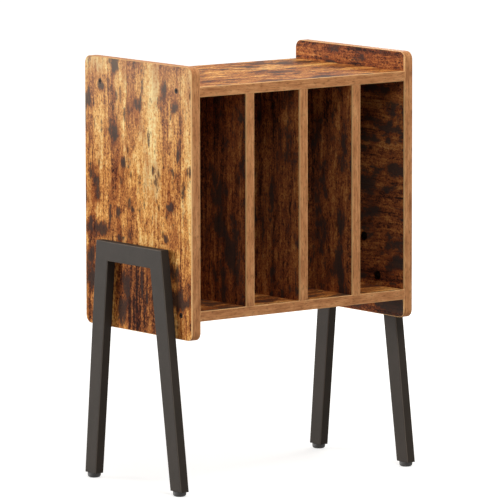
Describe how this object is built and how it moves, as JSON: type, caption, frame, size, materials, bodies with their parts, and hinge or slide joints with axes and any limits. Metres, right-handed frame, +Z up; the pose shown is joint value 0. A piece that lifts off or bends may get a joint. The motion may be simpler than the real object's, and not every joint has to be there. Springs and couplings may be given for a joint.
{
  "type": "turntable stand",
  "caption": "Record cabinet with upright dividers and a turntable deck, on two splayed steel leg frames with levelling feet.",
  "frame": {"origin": "on the floor under the middle of the cabinet", "axes": "+X to the right across the front, +Y from the open front to the back, +Z up"},
  "size_m": [0.542, 0.32, 0.765],
  "materials": {
    "laminate_board": "satin printed laminate on particle board",
    "edge_band": "satin printed edge banding",
    "hardboard": "satin foil on hardboard",
    "dowel_wood": "bare beech",
    "frame_steel": "matt powder coat",
    "black_screw": "black oxide",
    "zinc_steel": "bright zinc plate",
    "pad_plastic": "moulded, fine matt grain"
  },
  "bodies": {
    "stand": {"left_side_panel": "laminate_board", "right_side_panel": "laminate_board", "top_shelf": "laminate_board", "bottom_shelf": "laminate_board", "left_divider": "laminate_board", "middle_divider": "laminate_board", "right_divider": "laminate_board", "left_panel_edge_band": "edge_band", "right_panel_edge_band": "edge_band", "top_shelf_edge_band": "edge_band", "bottom_shelf_edge_band": "edge_band", "left_divider_edge_band": "edge_band", "middle_divider_edge_band": "edge_band", "right_divider_edge_band": "edge_band", "back_panel": "hardboard", "left_front_leg": "frame_steel", "left_rear_leg": "frame_steel", "left_crossbar": "frame_steel", "left_front_end_plate": "frame_steel", "left_rear_end_plate": "frame_steel", "left_frame_bolts": "black_screw", "left_frame_washers": "black_screw", "left_shelf_screws": "black_screw", "left_rivet_nuts": "zinc_steel", "right_front_leg": "frame_steel", "right_rear_leg": "frame_steel", "right_crossbar": "frame_steel", "right_front_end_plate": "frame_steel", "right_rear_end_plate": "frame_steel", "right_frame_bolts": "black_screw", "right_frame_washers": "black_screw", "right_shelf_screws": "black_screw", "right_rivet_nuts": "zinc_steel", "foot_weld_nuts": "zinc_steel", "divider_screws": "zinc_steel", "back_panel_screws": "zinc_steel", "shelf_dowels": "dowel_wood", "divider_dowels": "dowel_wood"},
    "left_front_stud": {"left_front_foot_stud": "zinc_steel"},
    "left_front_pad": {"left_front_foot_pad": "pad_plastic"},
    "left_rear_stud": {"left_rear_foot_stud": "zinc_steel"},
    "left_rear_pad": {"left_rear_foot_pad": "pad_plastic"},
    "right_front_stud": {"right_front_foot_stud": "zinc_steel"},
    "right_front_pad": {"right_front_foot_pad": "pad_plastic"},
    "right_rear_stud": {"right_rear_foot_stud": "zinc_steel"},
    "right_rear_pad": {"right_rear_foot_pad": "pad_plastic"}
  },
  "joints": [
    {"name": "left_front_foot_height", "type": "slide", "parent": "stand", "child": "left_front_stud", "axis": [0, 0, -1], "range_m": [0, 0.01]},
    {"name": "left_front_foot_turn", "type": "hinge", "parent": "left_front_stud", "child": "left_front_pad", "pos_m": [-0.259, -0.132, 0], "axis": [0, 0, -1], "range_deg": [0, 2880]},
    {"name": "left_rear_foot_height", "type": "slide", "parent": "stand", "child": "left_rear_stud", "axis": [0, 0, -1], "range_m": [0, 0.01]},
    {"name": "left_rear_foot_turn", "type": "hinge", "parent": "left_rear_stud", "child": "left_rear_pad", "pos_m": [-0.259, 0.1255, 0], "axis": [0, 0, -1], "range_deg": [0, 2880]},
    {"name": "right_front_foot_height", "type": "slide", "parent": "stand", "child": "right_front_stud", "axis": [0, 0, -1], "range_m": [0, 0.01]},
    {"name": "right_front_foot_turn", "type": "hinge", "parent": "right_front_stud", "child": "right_front_pad", "pos_m": [0.259, -0.132, 0], "axis": [0, 0, -1], "range_deg": [0, 2880]},
    {"name": "right_rear_foot_height", "type": "slide", "parent": "stand", "child": "right_rear_stud", "axis": [0, 0, -1], "range_m": [0, 0.01]},
    {"name": "right_rear_foot_turn", "type": "hinge", "parent": "right_rear_stud", "child": "right_rear_pad", "pos_m": [0.259, 0.1255, 0], "axis": [0, 0, -1], "range_deg": [0, 2880]}
  ],
  "couplings": [
    {"joint": "left_front_foot_turn", "follows": "left_front_foot_height", "rad_per_m": 5026.5},
    {"joint": "left_rear_foot_turn", "follows": "left_rear_foot_height", "rad_per_m": 5026.5},
    {"joint": "right_front_foot_turn", "follows": "right_front_foot_height", "rad_per_m": 5026.5},
    {"joint": "right_rear_foot_turn", "follows": "right_rear_foot_height", "rad_per_m": 5026.5}
  ]
}
